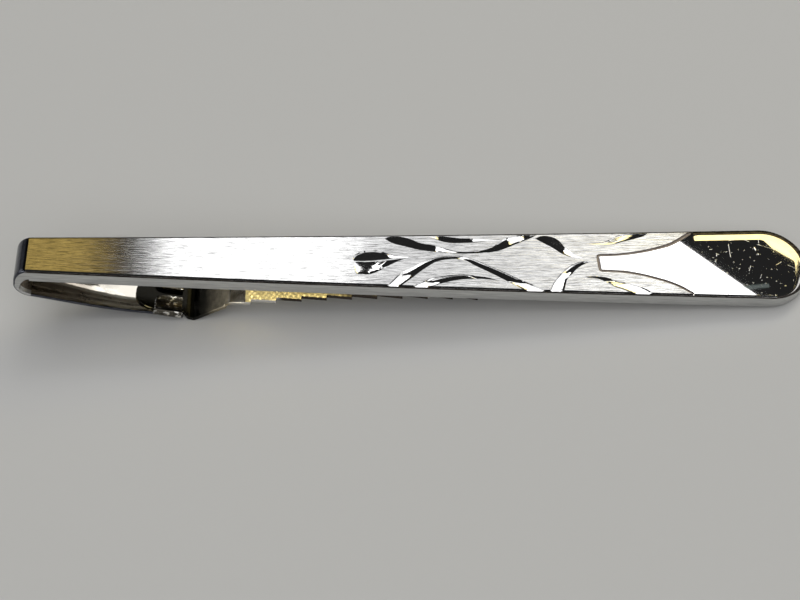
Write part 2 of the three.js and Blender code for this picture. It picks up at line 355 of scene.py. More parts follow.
class Station:
    """A place along the outline, on both sides of the bar. notch maps a side to how deep
    a cut crosses its edge there."""

    def __init__(self, x=TAPER_LENGTH, angle=0.0):
        self.angle = angle
        self.x = x
        self.notch = {-1: 0.0, 1: 0.0}

    def spot(self, side, inset):
        if self.angle:
            reach = TIP_RADIUS - inset
            return TAPER_LENGTH + reach * math.sin(self.angle), side * reach * math.cos(self.angle)
        return self.x, side * (half_width(self.x) - inset)

    def column(self, side):
        """The corners down one side."""
        width = edge_width(side, self.x, self.angle)
        column = []
        for k, (inset, depth) in enumerate(rows(BAR_DEPTH, BAR_SHEET, width)):
            x, y = self.spot(side, inset)
            if k <= ARC_STEPS:
                depth = max(depth, self.notch[side])
            if self.x == 0:
                x += depth * CREASE_LEAN
            column.append((x, y, sag(self.x) - depth))
        return column


# ---- material slots of the strip
(BRUSHED, MIRROR, CUT, SATIN, INSIDE, FOLD_SKIN, LEG_INSIDE, GROOVE, EAR, EAR_RIM, EDGE_LINE,
 FOLD_INSIDE, TIP_SLOPE_SIDE) = range(13)


# ---- the fold
def fold_point(angle):
    """Point on the outside of the fold, with the normal that points into it."""
    height = FOLD_RISE if angle > 0 else FOLD_DROP
    tangent = Vector((-FOLD_REACH * math.sin(angle), -height * math.cos(angle))).normalized()
    x = FOLD_CENTRE[0] - FOLD_REACH * math.cos(angle)
    z = FOLD_CENTRE[1] + height * math.sin(angle)
    return x, z, -tangent.y, tangent.x


# The section at the crease leans halfway between the bar's and the fold's.
CREASE_LEAN = math.tan(0.5 * math.asin(fold_point(CREASE_ANGLE)[2]))


def leg_point(x, lift=0.0):
    """Point on the leg's underside, raised along its normal."""
    start_x, start_z = fold_point(LEG_ANGLE)[:2]
    share = min(max((x - start_x) / (EAR_START_X - start_x), 0), 1)
    even = share * (1 - share) * 4  # 1 at most, halfway
    late = share ** 2 * (1 - share) * 27 / 4  # 1 at most, two thirds of the way along
    bow = LEG_BOW[0] * even + LEG_BOW[1] * late
    z = start_z - LEG_SLOPE * (x - start_x) - bow
    return x + math.sin(LEG_TILT) * lift, z + math.cos(LEG_TILT) * lift


def section(x, z, nx, nz, depth, sheet, crown=0.0, half=FOLD_WIDTH / 2):
    """Closed section of the folded strip: skin, far side, roof, near side."""
    down = rows(depth, sheet, EDGE if depth > 2 * LEG_SHEET else LEG_EDGE)

    def at(y, n):
        n += crown * (0.5 - (y / half) ** 2)
        return x + nx * n, y, z + nz * n

    near = [at(-(half - inset), n) for inset, n in down]
    far = [at(half - inset, n) for inset, n in down]
    skin = [at(share * (half - down[0][0]), 0) for share in SKIN_SHARES]
    last = half - down[-1][0]
    roof = [at(share * last, sheet) for share in SKIN_SHARES]
    return near[:1] + skin + far + roof[::-1] + near[:0:-1]


def section_slot(i, folded):
    """Material of each stretch of a section: outside skin, edge, side, inside."""
    inner, rim, side_rows = LEG_INSIDE, FOLD_SKIN, LEG_ROWS
    if folded:
        inner, rim, side_rows = FOLD_INSIDE, SATIN, SIDE_ROWS
    skin = len(SKIN_SHARES) + 1
    side = skin + ROW_COUNT - 1
    roof = side + len(SKIN_SHARES) + 1
    if side <= i < roof:
        return inner
    row = i - skin if i < side else roof + ROW_COUNT - 2 - i
    if row < ARC_STEPS - 1:
        return FOLD_SKIN
    return rim if row < ARC_STEPS + side_rows else inner


# ---- the cut strokes
ACROSS = (0, 0.08, 0.18, 0.3, 0.44, 0.58, 0.72, 0.86, 1)
FLAT = (0, 1, 1, 1, 1, 1, 1, 0.9, 0)  # flat floor between two steep walls
BANK = (0, 1, 1, 0.92, 0.74, 0.55, 0.37, 0.18, 0)  # floor, then a long bank on the near side
SCOOP = (0, 1, 0.89, 0.76, 0.61, 0.46, 0.3, 0.15, 0)  # one long bank
LEAN = (0, 0.12, 0.24, 0.37, 0.5, 0.64, 0.8, 1, 0)  # one bank that falls to the near side
LEDGE = (0, 0.2, 0.22, 0.3, 0.46, 0.64, 0.82, 1, 0)  # floor, then a bank that falls to the near side
VEE_ACROSS = (0, 0.14, 0.36, 0.64, 0.86, 1)
VEE = (0, 0.85, 1, 1, 0.85, 0)

# Each stroke: its far and near outlines, its shape across where it is banked, and run,
# (share of its length, depth, how banked). A negative bank takes the shape fall. skew
# lets the bank change earlier on one side. opens says at which ends the stroke runs out
# over an edge of the bar, as (end, side).
STROKES = {
    "bud_upper": dict(
        far=[(24.5, -0.12), (24.42, 0.16), (24.65, 0.54), (25.12, 0.79), (25.89, 0.91), (26.51, 0.84),
             (27.12, 0.63), (27.72, 0.43), (28.72, 0.29)],
        near=[(24.5, -0.12), (25.41, -0.09), (26.48, 0.01), (27.5, 0.15), (28.72, 0.29)],
        shape=SCOOP, run=[(0, 0, 1), (0.06, 0.1, 1), (0.62, 0.13, 1), (0.68, 0.06, 0), (1, 0, 0)]),
    "bud_lower": dict(
        far=[(24.62, -1.3), (24.52, -0.8), (24.56, -0.24), (25.4, -0.19), (26.48, -0.09), (27.5, 0.05),
             (28.5, 0.21)],
        near=[(24.62, -1.3), (25.53, -1.35), (26.14, -1.15), (27.08, -0.54), (27.86, -0.08),
              (28.5, 0.21)],
        shape=SCOOP, skew=0.3,
        run=[(0, 0, -1), (0.06, 0.11, -1), (0.36, 0.11, -1), (0.42, 0.1, 0), (0.5, 0.1, 0),
             (0.56, 0.12, -1), (0.8, 0.12, -1), (1, 0, -1)]),
    "sweep": dict(
        far=[(26.9, 2.02), (27.3, 2.22), (28.1, 2.24), (28.87, 2.03), (29.63, 1.66), (30.56, 1.49),
             (31.2, 1.32), (31.8, 1.08), (32.8, 0.88), (34.1, 0.97), (35.2, 1.31), (35.72, 1.75),
             (36.31, 2.19), (37.12, 2.46), (38.9, 2.6)],
        near=[(26.9, 2.02), (27.46, 1.63), (28.45, 1.31), (29.6, 1.0), (30.45, 0.87), (31.53, 0.77),
              (32.84, 0.7), (34.09, 0.74), (35.51, 0.94), (36.47, 1.33), (37.46, 1.82), (38.36, 2.26),
              (38.9, 2.6)],
        shape=SCOOP,
        run=[(0, 0, -1), (0.05, 0.12, -1), (0.31, 0.14, -1), (0.34, 0.06, 0), (0.44, 0.05, 0),
             (0.5, 0.05, 1), (0.58, 0.05, 0.5), (0.68, 0.12, 1), (0.8, 0.13, 1), (0.82, 0.08, 0),
             (0.9, 0.08, 0), (0.92, 0.12, 1), (1, 0, 1)]),
    "leaf_far": dict(
        far=[(30.1, 2.3), (30.9, 2.35), (31.46, 2.34), (32.0, 2.27), (32.78, 2.16), (33.87, 2.16),
             (35.0, 2.08), (35.9, 2.0)],
        near=[(30.1, 2.3), (30.67, 2.14), (31.2, 1.88), (31.97, 1.7), (32.9, 1.71), (33.85, 1.77),
              (35.0, 1.93), (35.9, 2.0)],
        shape=SCOOP,
        run=[(0, 0, 0), (0.15, 0.03, 0), (0.18, 0.12, 1), (0.6, 0.11, 1), (0.64, 0.04, 0), (1, 0, 0)]),
    "arch": dict(
        far=[(27.0, -2.28), (27.34, -1.92), (27.97, -1.22), (28.91, -0.65), (29.86, -0.06), (30.81, 0.31),
             (31.67, 0.48), (32.52, 0.47), (33.36, 0.3), (34.71, -0.34), (36.28, -1.17), (37.16, -1.67),
             (38.2, -2.17), (39.1, -2.63)],
        near=[(28.05, -2.32), (28.87, -1.62), (29.83, -0.78), (30.78, -0.11), (31.65, 0.13),
              (32.81, 0.13), (33.85, -0.45), (34.97, -1.09), (36.0, -1.73), (36.95, -2.34),
              (37.3, -2.57)],
        shape=BANK, fall=LEDGE, opens=[(0, -1), (1, -1)],
        run=[(0, 0.08, 0), (0.08, 0.09, 0), (0.13, 0.13, 1), (0.36, 0.08, 1), (0.46, 0.06, 0.8),
             (0.5, 0.04, 0), (0.54, 0.06, -0.8), (0.64, 0.1, -1), (0.86, 0.15, -1), (0.89, 0.1, 0),
             (1, 0.09, 0)]),
    "leaf_near": dict(
        far=[(28.97, -2.34), (29.31, -2.12), (30.01, -1.79), (31.02, -1.46), (32.18, -1.29),
             (33.03, -1.26), (33.95, -1.36), (34.63, -1.49), (35.61, -1.8)],
        near=[(30.3, -2.38), (31.38, -2.01), (32.31, -1.77), (33.31, -1.66), (34.39, -1.65),
              (35.61, -1.8)],
        shape=BANK, opens=[(0, -1)],
        run=[(0, 0.08, 0), (0.14, 0.08, 0), (0.18, 0.13, 1), (0.6, 0.1, 1), (0.7, 0.07, -0.6),
             (1, 0, -1)]),
    "leaf_drop": dict(
        far=[(38.67, 2.2), (39.17, 2.46), (39.88, 2.42), (40.48, 2.09), (41.02, 1.28), (41.67, 0.74),
             (42.3, 0.36)],
        near=[(38.67, 2.2), (39.41, 1.7), (40.14, 1.13), (40.88, 0.66), (41.49, 0.43), (42.3, 0.36)],
        shape=SCOOP,
        run=[(0, 0, -1), (0.07, 0.12, -1), (0.6, 0.14, -1), (0.64, 0.05, 0), (0.8, 0.05, -0.4),
             (1, 0, 0)]),
    "curl": dict(
        far=[(39.4, -2.64), (39.67, -2.06), (40.13, -1.41), (40.82, -0.66), (41.42, -0.23), (42.15, 0.06),
             (43.1, 0.1)],
        near=[(40.5, -2.66), (40.68, -2.05), (40.8, -1.68), (41.24, -1.14), (41.78, -0.55),
              (42.42, -0.14), (43.1, 0.1)],
        shape=BANK, opens=[(0, -1)],
        run=[(0, 0.08, 0.3), (0.1, 0.08, 0), (0.42, 0.08, 0), (0.46, 0.13, 1), (0.78, 0.1, 1),
             (0.86, 0.05, 0.5), (1, 0, 0)]),
    "leaf_tip_far": dict(
        far=[(42.66, 1.76), (43.77, 1.86), (44.52, 2.13), (45.12, 2.48), (45.87, 2.73), (46.7, 2.8),
             (47.7, 2.83)],
        near=[(42.66, 1.76), (43.75, 1.66), (44.71, 1.72), (45.53, 1.95), (46.6, 2.27), (47.3, 2.52),
              (47.7, 2.83)],
        shape=BANK,
        run=[(0, 0, 0), (0.2, 0.04, 0.3), (0.45, 0.07, 0), (0.6, 0.1, 0.4), (0.78, 0.11, 1), (1, 0, 1)]),
    "leaf_tip_near": dict(
        far=[(41.91, -1.45), (42.78, -1.3), (43.71, -1.38), (44.31, -1.57), (44.91, -1.78),
             (45.81, -2.05), (46.77, -2.43), (47.35, -2.86)],
        near=[(41.91, -1.45), (43.15, -1.53), (43.81, -1.85), (44.38, -2.26), (44.9, -2.46),
              (45.3, -2.65), (45.65, -2.81)],
        shape=BANK, opens=[(1, -1)],
        run=[(0, 0, 0), (0.2, 0.06, -0.5), (0.28, 0.11, -1), (0.42, 0.11, -1), (0.46, 0.1, 0),
             (0.5, 0.1, 0.7), (0.6, 0.09, 0.7), (0.64, 0.07, 0), (1, 0.07, 0)]),
}

# The groove that frames the polished tip, from the far edge round to the near one:
# its middle, and (share of its length, width, depth) along it.
RIBBON = [(51.12, 2.9), (50.72, 2.62), (49.95, 2.1), (49.15, 1.67), (48.07, 1.32), (47.0, 1.04),
          (45.87, 0.84), (44.74, 0.71), (43.75, 0.67), (43.53, 0.64), (43.46, 0.55), (43.47, -0.07),
          (43.5, -0.68), (43.57, -0.78), (43.8, -0.8), (44.56, -0.83), (45.64, -0.93), (46.71, -1.15),
          (47.76, -1.47), (48.66, -1.79), (49.53, -2.22), (50.14, -2.64), (50.5, -2.92)]
RIBBON_ALONG = [(0, 0.32, 0.09), (0.1, 0.3, 0.08), (0.4, 0.22, 0.06), (0.46, 0.24, 0.07),
                (0.54, 0.24, 0.07), (0.6, 0.22, 0.06), (0.9, 0.24, 0.08), (1, 0.24, 0.08)]
RIBBON_OPENS = [(0, 1), (1, -1)]
RIBBON_ROWS = 190
ROW_LENGTH = 0.14  # of the other strokes
EDGE_GAP = 0.01  # what a stroke leaves between it and an edge that it doesn't cross


def along(stops, share, k):
    table = np.array(stops, float)
    return np.interp(share, table[:, 0], table[:, k])


def stroke_patch(far, near, across, depth_rows, opens):
    """Grid of corners [along, across] of one stroke, with the stations where it crosses an edge."""
    grid = far[:, None, :] + (near - far)[:, None, :] * np.array(across)[None, :, None]
    for spot in grid.reshape(-1, 2):
        room = half_width(spot[0]) - edge_width(np.sign(spot[1]), spot[0]) - EDGE_GAP
        spot[1] = min(max(spot[1], -room), room)
    crossings = []
    for end, side in opens:
        row = 0 if end == 0 else -1
        crossings.append([])
        for c, share in enumerate(across):
            station = Station(x=round(lerp(far[row][0], near[row][0], share), 4))
            station.notch[side] = depth_rows[row][c]
            grid[row, c] = station.spot(side, edge_width(side, station.x))
            crossings[-1].append(station)
    return grid, crossings


def banked_stroke(far, near, shape, run, fall=LEAN, skew=0, opens=()):
    """One stroke of the leaf spray: its corner grid, edge stations and depths."""
    length = max(np.linalg.norm(np.diff(np.array(side), axis=0), axis=1).sum() for side in (far, near))
    count = int(length / ROW_LENGTH)
    shares = np.linspace(0, 1, count)
    slant = skew * (np.array(ACROSS)[None, :] - 0.5) * np.minimum(1, 8 * shares * (1 - shares))[:, None]
    deep, bank = along(run, shares, 1), along(run, shares[:, None] + slant, 2)
    toward = np.where(bank < 0, np.array(fall)[None, :], np.array(shape)[None, :])
    depth = deep[:, None] * lerp(np.array(FLAT)[None, :], toward, np.abs(bank))
    return *stroke_patch(curve(far, count), curve(near, count), ACROSS, depth, opens), depth


def ribbon():
    """The groove before the polished tip, in the same form as a stroke."""
    middle = curve(RIBBON, RIBBON_ROWS)
    shares = np.linspace(0, 1, RIBBON_ROWS)
    way = np.gradient(middle, axis=0)
    way /= np.linalg.norm(way, axis=1)[:, None]
    out = np.stack((way[:, 1], -way[:, 0]), 1) * along(RIBBON_ALONG, shares, 1)[:, None] / 2
    depth = along(RIBBON_ALONG, shares, 2)[:, None] * np.array(VEE)[None, :]
    return *stroke_patch(middle + out, middle - out, VEE_ACROSS, depth, RIBBON_OPENS), depth


# ---- the folded strip
def bar_stations(crossings, gap=0.05):
    """Every station, with no plain one inside a crossing or nearer to it than the gap."""
    taken = [s for group in crossings for s in group]
    spans = [(min(s.x for s in group) - gap, max(s.x for s in group) + gap) for group in crossings]
    plain = [0.0, BAR_STEP / 2, BAR_STEP, *np.arange(2 * BAR_STEP, TAPER_LENGTH - BAR_STEP / 2, BAR_STEP)]
    plain += [*np.linspace(*TIP_EDGE_X, 4), TAPER_LENGTH]
    for x in plain:
        if not any(low < x < high for low, high in spans):
            taken.append(Station(x=float(x)))
    taken.sort(key=lambda s: s.x)
    merged = []
    for station in taken:
        if merged and abs(merged[-1].x - station.x) < 1e-6:
            for side in (-1, 1):
                merged[-1].notch[side] = max(merged[-1].notch[side], station.notch[side])
        else:
            merged.append(station)
    merged += [Station(angle=math.pi / 2 * k / TIP_STEPS) for k in range(1, TIP_STEPS + 1)]
    return merged


def stroke_loop(grid):
    """A stroke's outline, once round, without repeats."""
    loop = [tuple(p) for p in grid[:, 0]] + [tuple(p) for p in grid[-1, 1:-1]]
    loop += [tuple(p) for p in grid[::-1, -1]] + [tuple(p) for p in grid[0, 1:-1][::-1]]
    return [p for i, p in enumerate(loop) if i == 0 or np.hypot(*np.subtract(p, loop[i - 1])) > 1e-6]


def numbered(loops):
    """The corners of all the loops, each once, and the edges between them."""
    spots, index, edges = [], {}, []
    for loop in loops:
        ids = []
        for p in loop:
            key = (round(p[0], 5), round(p[1], 5))
            if key not in index:
                index[key] = len(spots)
                spots.append((float(p[0]), float(p[1])))
            ids.append(index[key])
        edges += [(a, b) for a, b in zip(ids, ids[1:] + ids[:1]) if a != b]
    return spots, edges


def on_flat(points, rim, holes):
    """Which of the points lie inside the rim and outside every hole."""
    held = inside(points, rim)
    for hole in holes:
        held &= ~inside(points, hole)
    return held


def inner_spots(border, rim, holes, step=(0.9, 0.75), gap=0.25):
    """An even grid of places on the flat that keeps a gap to the border."""
    xs, ys = np.arange(0.7, BAR_LENGTH, step[0]), np.arange(-4 * step[1], 3.1, step[1])
    grid = np.array([(x, y) for x in xs for y in ys])
    clear = np.array([np.hypot(*(np.array(border) - p).T).min() > gap for p in grid])
    return [tuple(p) for p in grid[on_flat(grid, rim, holes) & clear]]


def flat_top(shell, near, far, strokes):
    """Fills the flat of the top between the edges and the strokes."""
    crease = [(0.0, float(share * (FOLD_WIDTH / 2 - EDGE))) for share in SKIN_SHARES]
    rim = near + far[-2::-1] + crease[::-1]
    holes = [stroke_loop(grid) for grid, _, _ in strokes]
    spots, edges = numbered([rim, *holes])
    spots += inner_spots(spots, rim, holes)
    filled = geometry.delaunay_2d_cdt([Vector(p) for p in spots], edges, [], 0, 1e-7, True)
    corners, _, faces, origin = filled[:4]
    exact = [spots[ids[0]] if ids else tuple(v) for v, ids in zip(corners, origin)]
    middle = np.array([np.mean([exact[i] for i in f], 0) for f in faces])
    ribbon_line = strokes[-1][0][:, 3]
    beyond = BAR_LENGTH + 10
    polished = inside(middle, np.vstack((ribbon_line, [(beyond, -3), (beyond, 3)])))
    for f, keep, bright in zip(faces, on_flat(middle, rim, holes), polished):
        if keep:
            shell.face([(*exact[i], sag(exact[i][0])) for i in f], MIRROR if bright else BRUSHED)


def cut_stroke(shell, grid, depth, slot):
    """The floor and banks of a stroke, with sharp borders."""
    corners = [[(*spot, sag(spot[0]) - deep) for spot, deep in zip(*row)] for row in zip(grid, depth)]
    for a, b in zip(corners, corners[1:]):
        shell.strip(a, b, slot)
    for k in (0, 1, -1):
        shell.crease([row[k] for row in corners])
    shell.crease(corners[0])
    shell.crease(corners[-1])


def column_slot(side, station, k):
    """Material of each stretch down a side."""
    if k < ARC_STEPS:
        if side < 0 and not station.angle:
            return CUT if k < SLOPE_STEPS + 1 else EDGE_LINE
        plain = side > 0 and station.x < TIP_EDGE_X[0]
        return EDGE_LINE if plain or k >= SLOPE_STEPS else TIP_SLOPE_SIDE
    return SATIN if k < ARC_STEPS + SIDE_ROWS else INSIDE


def bar_half(shell):
    """The bar with its sides and its cuts, up to the crease."""
    strokes = [banked_stroke(**stroke) for stroke in STROKES.values()] + [ribbon()]
    stations = bar_stations([crossing for stroke in strokes for crossing in stroke[1]])
    near = [s.column(-1) for s in stations]
    far = [s.column(1) for s in stations]
    far[-1] = near[-1]
    for side, columns in ((-1, near), (1, far)):
        for station, a, b in zip(stations, columns, columns[1:]):
            shell.strip(a, b, lambda k: column_slot(side, station, k))
        shell.crease([column[0] for column in columns])
    flat_top(shell, [c[0][:2] for c in near], [c[0][:2] for c in far], strokes)
    for grid, _, depth in strokes:
        cut_stroke(shell, grid, depth, GROOVE if grid is strokes[-1][0] else CUT)
    roofs = []
    for n, f in zip(near, far):
        across = [lerp(np.array(n[-1]), np.array(f[-1]), (share + 1) / 2) for share in SKIN_SHARES]
        roofs.append([n[-1]] + [tuple(p) for p in across] + [f[-1]])
    for a, b in zip(roofs, roofs[1:]):
        shell.strip(a, b, INSIDE)


def side_share(angle):
    """0 at the crease, 1 where the sides have run out."""
    return min(max((CREASE_ANGLE - angle) / (CREASE_ANGLE - SIDES_END_ANGLE), 0), 1)


def fold_and_leg(shell):
    """The rest of the strip, from the crease on."""
    crease = section(0, 0, CREASE_LEAN, -1, BAR_DEPTH, BAR_SHEET)
    sections = [crease]
    for k in range(1, FOLD_STEPS + 1):
        angle = lerp(CREASE_ANGLE, LEG_ANGLE, k / FOLD_STEPS)
        share = side_share(angle)
        depth, sheet = lerp(BAR_DEPTH, LEG_SHEET, share), lerp(BAR_SHEET, LEG_SHEET, share)
        sections.append(section(*fold_point(angle), depth, sheet))
    normal = (math.sin(LEG_TILT), math.cos(LEG_TILT))
    for x in (*np.arange(LEG_START_X, LEG_END_X, LEG_STEP), LEG_END_X):
        crown = LEG_CROWN * smooth((x - LEG_START_X) / CROWN_RUN)
        sections.append(section(*leg_point(x), *normal, LEG_SHEET, LEG_SHEET, crown))
    for number, (a, b) in enumerate(zip(sections, sections[1:])):
        shell.strip(a, b, lambda i: section_slot(i, number < FOLD_STEPS), closed=True)
    shell.crease(crease[:len(SKIN_SHARES) + 2])
    shell.face(sections[-1], LEG_INSIDE)


def ear(shell, side):
    """One ear: it grows from the leg's edge and is folded up and over the tongue's root."""
    edge = FOLD_WIDTH / 2
    foot = edge - EAR_BULGE / 2
    reach = EAR_BULGE * 3 / 2
    top = 2 * LEG_SHEET + TONGUE_SHEET + 2 * TONGUE_CLEARANCE
    outside = [(edge - EAR_LAP, 0.0, EAR_START_X)]
    for k in range(EAR_BEND_STEPS + 1):
        turn = math.pi * (k / EAR_BEND_STEPS - 0.5)
        outside.append((foot + reach * math.cos(turn), top / 2 * (1 + math.sin(turn)), EAR_START_X))
    for k in range(1, EAR_ROOF_STEPS + 1):
        share = k / EAR_ROOF_STEPS
        corner = EAR_CORNER * (1 - math.sqrt(max(1 - share ** 4, 0)))
        outside.append((lerp(foot, EAR_INNER_Y, share), top, EAR_START_X + corner))
    outside.append((EAR_INNER_Y - 0.001, top, EAR_START_X + EAR_CORNER + 0.02))
    sections = []
    soft = EAR_SOFT
    for i, (y, height, start) in enumerate(outside):
        before, after = outside[max(i - 1, 0)], outside[min(i + 1, len(outside) - 1)]
        run = Vector((after[0] - before[0], after[1] - before[1])).normalized()
        deep = (-run.y, run.x)
        ring = []
        front = [(start + soft, 0), (start, soft)]
        front += [(x, LEG_SHEET - n) for x, n in front[::-1]]
        back = [(start + EAR_END_X - x, n) for x, n in front[::-1]]
        for x, n in front + back:
            base_x, base_z = leg_point(x, height + deep[1] * n)
            ring.append((base_x, side * (y + deep[0] * n), base_z))
        sections.append(ring)
    for a, b in zip(sections, sections[1:]):
        shell.strip(a, b, lambda i: EAR_RIM if i in (0, 1, 5, 6) else EAR, closed=True)
    shell.face(sections[0], EAR)
    shell.face(sections[-1], EAR_RIM)


# ---- the tongue
def tongue_half(x):
    """Half the tongue's width: round root, shoulders, teeth."""
    if x < ROOT_CENTRE_X:
        return math.sqrt(max(ROOT_RADIUS ** 2 - (ROOT_CENTRE_X - x) ** 2, 0.01))
    if x < SHOULDER_X:
        return ROOT_RADIUS
    if x < TOOTH_START_X:
        return lerp(ROOT_RADIUS, SHOULDER_HALF, smooth((x - SHOULDER_X) / (SHOULDER_END_X - SHOULDER_X)))
    share = ((x - TOOTH_START_X + 1e-6) % TOOTH_PITCH) / (TOOTH_PITCH - TOOTH_FLANK)
    return half_width(x) - BLADE_MARGIN - TOOTH_DEPTH + TOOTH_DEPTH * min(share, 1)


def tongue_underside(xs):
    """Height of the tongue's underside, with its bends rounded off."""
    lift = (LEG_SHEET + TONGUE_CLEARANCE) / math.cos(LEG_TILT)
    fine = np.arange(ROOT_CENTRE_X - ROOT_RADIUS - 1, BLADE[-1][0] + 1, BEND_STEP)
    blade = curve(BLADE, 400)
    straight = [leg_point(x)[1] + lift for x in (fine[0], SHOULDER_END_X)]
    bends = [fine[0], SHOULDER_END_X, HUMP[0], *blade[:, 0]]
    heights = np.interp(fine, bends, [*straight, HUMP[1], *blade[:, 1]])
    pad = 22
    weight = np.exp(-(np.arange(-pad, pad + 1) * BEND_STEP / BEND_RADIUS) ** 2)
    weight /= weight.sum()
    before, after = 2 * heights[0] - heights[pad:0:-1], 2 * heights[-1] - heights[-2:-pad - 2:-1]
    rounded = np.convolve(np.concatenate((before, heights, after)), weight, "valid")
    rounded += HUMP[1] - rounded.min()
    fade = smooth((fine - BEND_FADE_X[0]) / (BEND_FADE_X[1] - BEND_FADE_X[0]))
    rounded = lerp(rounded, heights, fade)
    return np.interp(xs, fine, rounded), np.interp(xs, fine, np.gradient(rounded, fine))


KNURL_START_X = 16.0
KNURL_PITCH = 0.42
KNURL_HEIGHT = 0.11
KNURL_SLANT = 0.8
GRIP_START_X = 16.2  # from here on the blade's upper face has its own material
PLAIN, GRIP = range(2)


def knurl(x, y):
    """Raised diamonds pressed into the blade's upper face."""
    fade = smooth((x - KNURL_START_X) / 0.6)
    a = math.sin(math.pi * (x + KNURL_SLANT * y) / KNURL_PITCH)
    b = math.sin(math.pi * (x - KNURL_SLANT * y) / KNURL_PITCH)
    rough = 0.6 + 0.4 * noise.noise(Vector((x * 2.1, y * 2.1, 3.0)))
    return KNURL_HEIGHT * fade * rough * (abs(a) * abs(b)) ** 0.7


def tongue_places():
    """Where the tongue has a section: round its root, then evenly, and at every tooth's ends."""
    last = TOOTH_START_X + TOOTH_PITCH * TOOTH_COUNT - TOOTH_FLANK
    special = []
    for k in range(TOOTH_COUNT):
        start = TOOTH_START_X + k * TOOTH_PITCH
        special += [start, start + TOOTH_PITCH - TOOTH_FLANK]
    root = [ROOT_CENTRE_X - ROOT_RADIUS * math.cos(t) for t in np.linspace(0.12, math.pi / 2, 12)]
    even = np.arange(ROOT_CENTRE_X + TONGUE_STEP, last, TONGUE_STEP)
    plain = [x for x in even if min(abs(x - s) for s in special) > 0.03]
    return np.array(sorted(set(root + plain + special)))


def tongue(shell):
    """The tongue as a row of closed sections, knurled above."""
    xs = tongue_places()
    soft = TONGUE_SOFT
    columns = TONGUE_TOP_COLUMNS
    rings = []
    for x, z, slope in zip(xs, *tongue_underside(xs)):
        n = Vector((-slope, 1)).normalized()
        half = tongue_half(x)
        inner = half - soft
        ring = [(y, TONGUE_SHEET + knurl(x, y)) for y in np.linspace(-inner, inner, columns)]
        ring += [(half, TONGUE_SHEET - soft), (half, soft)]
        ring += [(y, 0) for y in np.linspace(inner, -inner, TONGUE_UNDER_COLUMNS)]
        ring += [(-half, soft), (-half, TONGUE_SHEET - soft)]
        rings.append([(x + n.x * up, y, z + n.y * up) for y, up in ring])
    for x, a, b in zip(xs, rings, rings[1:]):
        above = GRIP if x > GRIP_START_X else PLAIN
        shell.strip(a, b, lambda i: above if i < columns - 1 else PLAIN, closed=True)
    shell.face(rings[0], PLAIN)
    shell.face(rings[-1], PLAIN)


# ---- materials
def put(node, values):
    """Sets a node's inputs and settings, given by name."""
    for key, value in values.items():
        if key in node.inputs.keys():
            node.inputs[key].default_value = value
        else:
            setattr(node, key, value)


class Nodes:
    """A Principled material, metal unless told otherwise, with a few nodes round it."""

    def __init__(self, name, colour, roughness):
        self.material = bpy.data.materials.new(name)
        self.material.use_nodes = True
        self.tree = self.material.node_tree
        self.shader = self.tree.nodes["Principled BSDF"]
        put(self.shader, {"Base Color": (*colour, 1), "Roughness": roughness, "Metallic": 1.0})
        self.normal = None

    def add(self, kind, **values):
        node = self.tree.nodes.new(kind)
        put(node, values)
        return node

    def link(self, source, target):
        self.tree.links.new(source, target)

    def spot(self):
        """The place in the bar's own frame, in millimetres."""
        return self.add("ShaderNodeAttribute", attribute_name="bar_mm").outputs["Vector"]

    def place(self, scale):
        """That place, stretched by scale."""
        mapping = self.add("ShaderNodeMapping", Scale=scale)
        self.link(self.spot(), mapping.inputs["Vector"])
        return mapping.outputs["Vector"]

    def noise(self, scale, detail=3.0, rough=0.55):
        node = self.add("ShaderNodeTexNoise", Scale=1.0, Detail=detail, Roughness=rough)
        self.link(self.place(scale), node.inputs["Vector"])
        return node.outputs["Fac"]

    def ranged(self, value, low, high, to_low, to_high):
        node = self.add("ShaderNodeMapRange")
        put(node, {"From Min": low, "From Max": high, "To Min": to_low, "To Max": to_high})
        self.link(value, node.inputs["Value"])
        return node.outputs["Result"]

    def pair(self, operation, first, second):
        node = self.add("ShaderNodeMath", operation=operation)
        self.link(first, node.inputs[0])
        self.link(second, node.inputs[1])
        return node.outputs["Value"]

    def lengthwise(self, scale, amount, low, high):
        """0 to 1 along the bar between two places, its lines made uneven by a cloud."""
        split = self.add("ShaderNodeSeparateXYZ")
        self.link(self.spot(), split.inputs["Vector"])
        sway = self.add("ShaderNodeMath", operation="MULTIPLY_ADD")
        self.link(self.noise(scale, detail=4), sway.inputs[0])
        sway.inputs[1].default_value = amount
        self.link(split.outputs["X"], sway.inputs[2])
        return self.ranged(sway.outputs["Value"], low, high, 0, 1)

    def colour(self, value, stops):
        node = self.add("ShaderNodeValToRGB")
        elements = node.color_ramp.elements
        while len(elements) < len(stops):
            elements.new(0.5)
        for element, (position, colour) in zip(elements, stops):
            element.position = position
            element.color = (*colour, 1)
        self.link(value, node.inputs["Fac"])
        self.link(node.outputs["Color"], self.shader.inputs["Base Color"])

    def roughness(self, value, to_low, to_high, low=0.3, high=0.7):
        self.link(self.ranged(value, low, high, to_low, to_high), self.shader.inputs["Roughness"])

    def bump(self, value, distance):
        """Relief of so many millimetres, on top of any before it."""
        node = self.add("ShaderNodeBump", Strength=1.0, Distance=distance * MM)
        self.link(value, node.inputs["Height"])
        if self.normal is not None:
            self.link(self.normal, node.inputs["Normal"])
        self.normal = node.outputs["Normal"]
        self.link(self.normal, self.shader.inputs["Normal"])

    def brushed(self, amount):
        """Highlights spread across the direction of brushing, which is along the bar."""
        put(self.shader, {"Anisotropic": amount, "Anisotropic Rotation": 0.25})
        tangent = self.add("ShaderNodeTangent", direction_type="UV_MAP", uv_map="along")
        self.link(tangent.outputs["Tangent"], self.shader.inputs["Tangent"])


